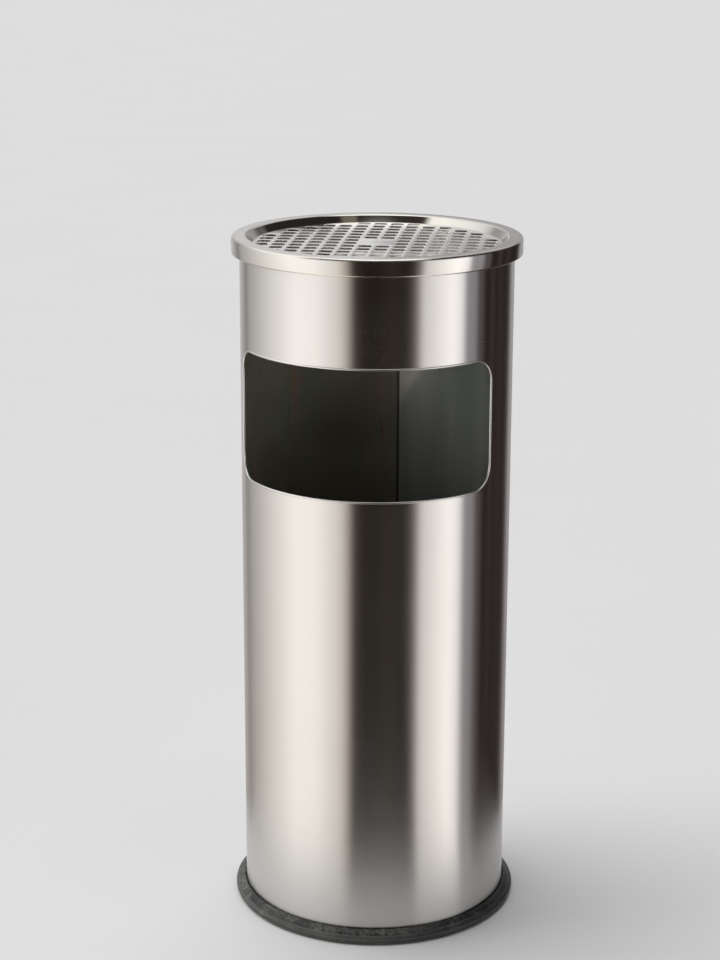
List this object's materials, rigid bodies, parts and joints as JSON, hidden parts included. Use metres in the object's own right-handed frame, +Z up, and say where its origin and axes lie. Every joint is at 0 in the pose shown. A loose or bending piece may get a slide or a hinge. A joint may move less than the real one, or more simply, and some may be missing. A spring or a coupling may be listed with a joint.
{
  "type": "ashtray bin",
  "caption": "Tall round steel litter bin with a wide side opening, a lift-off ashtray with a perforated strainer, a rubber base ring and a removable inner bucket.",
  "frame": {"origin": "centre of the footprint, on the floor, under the base ring", "axes": "+Z up along the tube's axis; the side opening faces -Y; the bail's pins lie along X"},
  "size_m": [0.2564, 0.2564, 0.61],
  "materials": {
    "shell_steel": "satin polished stainless steel",
    "pan_steel": "satin rim, polished bowl",
    "strainer_steel": "polished, lightly dusty",
    "zinc_steel": "galvanised, dull",
    "zinc_wire": "bright zinc plate",
    "rubber": "matte, dusty"
  },
  "bodies": {
    "body": {"body_shell": "shell_steel", "bottom_plate": "shell_steel", "base_ring": "rubber"},
    "ashtray": {"ashtray_pan": "pan_steel"},
    "strainer": {"ash_strainer": "strainer_steel"},
    "liner": {"liner_wall": "zinc_steel", "liner_base": "zinc_steel", "liner_rim_wire": "zinc_wire", "liner_ear_left": "zinc_steel", "liner_ear_right": "zinc_steel", "ear_rivet_left_upper": "zinc_wire", "ear_rivet_left_lower": "zinc_wire", "ear_rivet_right_upper": "zinc_wire", "ear_rivet_right_lower": "zinc_wire"},
    "bail": {"bail_handle": "zinc_wire"}
  },
  "joints": [
    {"name": "ashtray_lift", "type": "slide", "parent": "body", "child": "ashtray", "axis": [0, 0, 1], "range_m": [0, 1.1]},
    {"name": "strainer_lift", "type": "slide", "parent": "ashtray", "child": "strainer", "axis": [0, 0, 1], "range_m": [0, 0.12]},
    {"name": "liner_lift", "type": "slide", "parent": "body", "child": "liner", "axis": [0, 0, 1], "range_m": [0, 0.62]},
    {"name": "bail_swing", "type": "hinge", "parent": "liner", "child": "bail", "pos_m": [0, 0, 0.316], "axis": [-1, 0, 0], "range_deg": [0, 206.6]}
  ],
  "couplings": [
    {"joint": "liner_lift", "follows": "ashtray_lift", "ratio": 0.56}
  ]
}
